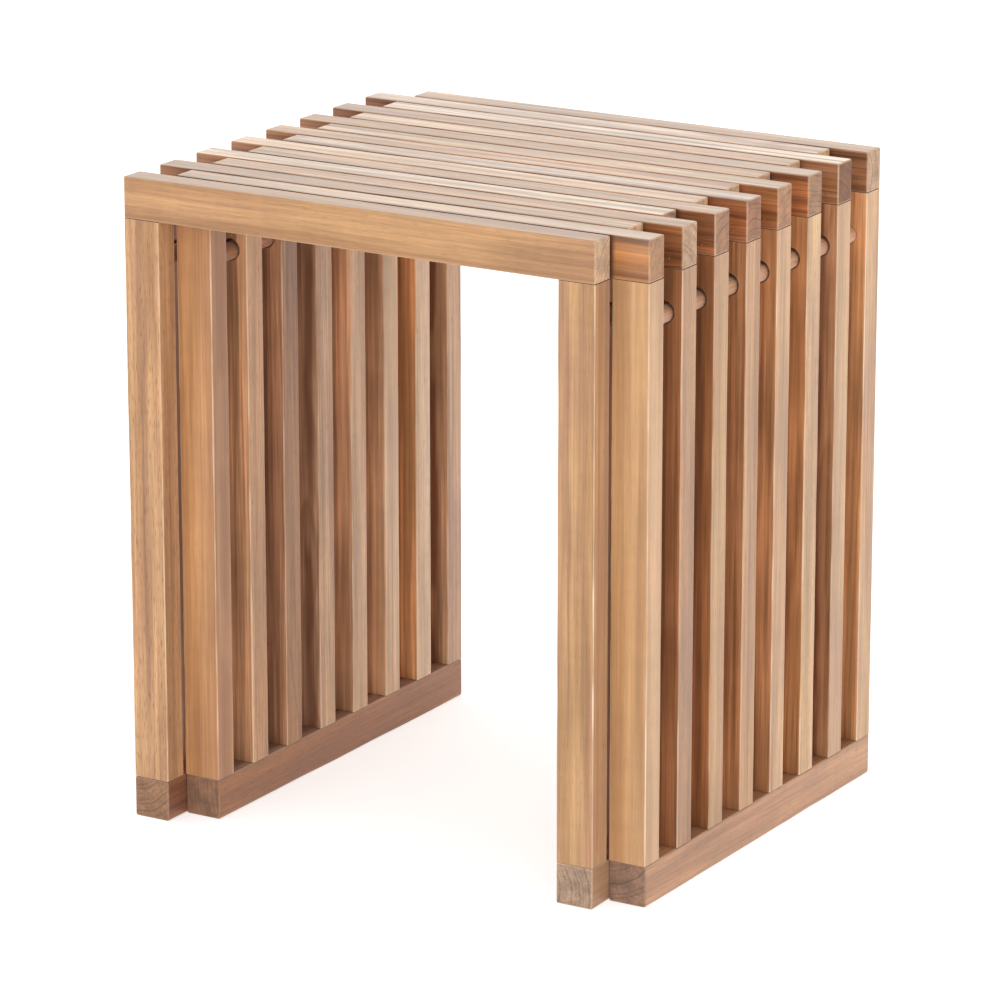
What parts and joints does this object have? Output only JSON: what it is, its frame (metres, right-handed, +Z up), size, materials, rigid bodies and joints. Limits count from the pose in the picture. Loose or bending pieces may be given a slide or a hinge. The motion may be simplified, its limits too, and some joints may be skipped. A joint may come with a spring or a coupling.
{
  "type": "extendable slatted stool",
  "caption": "Slatted wooden shower stool made of two interleaved comb frames on floor rails, which slide apart to make a bench.",
  "frame": {"origin": "on the floor, at the centre of the closed stool's footprint", "axes": "+Z up, +X the way the right half slides out and along the slats, -Y towards the front"},
  "size_m": [0.3908, 0.34, 0.45],
  "materials": {
    "wood_honey": "honey-toned oiled hardwood, fine straight grain",
    "wood_sand": "pale sandy oiled hardwood with grey-brown streaks",
    "wood_rose": "pinkish grey-brown oiled hardwood with diagonal figure",
    "wood_chestnut": "red-brown oiled hardwood, satin",
    "wood_umber": "dark brown oiled hardwood, satin",
    "wood_birch": "pale turned rod, sanded and lightly oiled"
  },
  "bodies": {
    "left_half": {"left_half_slat_1": "wood_honey", "left_half_slat_2": "wood_sand", "left_half_slat_3": "wood_rose", "left_half_slat_4": "wood_sand", "left_half_slat_5": "wood_sand", "left_half_slat_6": "wood_rose", "left_half_slat_7": "wood_sand", "left_half_slat_8": "wood_sand", "left_half_outer_leg_1": "wood_honey", "left_half_outer_leg_2": "wood_chestnut", "left_half_outer_leg_3": "wood_umber", "left_half_outer_leg_4": "wood_chestnut", "left_half_outer_leg_5": "wood_umber", "left_half_outer_leg_6": "wood_chestnut", "left_half_outer_leg_7": "wood_umber", "left_half_outer_leg_8": "wood_umber", "left_half_inner_leg_1": "wood_honey", "left_half_inner_leg_2": "wood_rose", "left_half_inner_leg_3": "wood_chestnut", "left_half_inner_leg_4": "wood_sand", "left_half_inner_leg_5": "wood_rose", "left_half_inner_leg_6": "wood_chestnut", "left_half_inner_leg_7": "wood_sand", "left_half_inner_leg_8": "wood_rose", "left_half_outer_rail": "wood_rose", "left_half_inner_rail": "wood_rose", "left_half_outer_dowel": "wood_birch", "left_half_inner_dowel": "wood_birch"},
    "right_half": {"right_half_slat_1": "wood_sand", "right_half_slat_2": "wood_rose", "right_half_slat_3": "wood_sand", "right_half_slat_4": "wood_sand", "right_half_slat_5": "wood_rose", "right_half_slat_6": "wood_sand", "right_half_slat_7": "wood_sand", "right_half_slat_8": "wood_honey", "right_half_outer_leg_1": "wood_honey", "right_half_outer_leg_2": "wood_rose", "right_half_outer_leg_3": "wood_sand", "right_half_outer_leg_4": "wood_chestnut", "right_half_outer_leg_5": "wood_sand", "right_half_outer_leg_6": "wood_honey", "right_half_outer_leg_7": "wood_umber", "right_half_outer_leg_8": "wood_sand", "right_half_inner_leg_1": "wood_honey", "right_half_inner_leg_2": "wood_umber", "right_half_inner_leg_3": "wood_chestnut", "right_half_inner_leg_4": "wood_umber", "right_half_inner_leg_5": "wood_umber", "right_half_inner_leg_6": "wood_chestnut", "right_half_inner_leg_7": "wood_honey", "right_half_inner_leg_8": "wood_umber", "right_half_outer_rail": "wood_rose", "right_half_inner_rail": "wood_rose", "right_half_outer_dowel": "wood_birch", "right_half_inner_dowel": "wood_birch"}
  },
  "joints": [
    {"name": "right_half_slide", "type": "slide", "parent": "left_half", "child": "right_half", "axis": [1, 0, 0], "range_m": [0, 0.2795]}
  ]
}
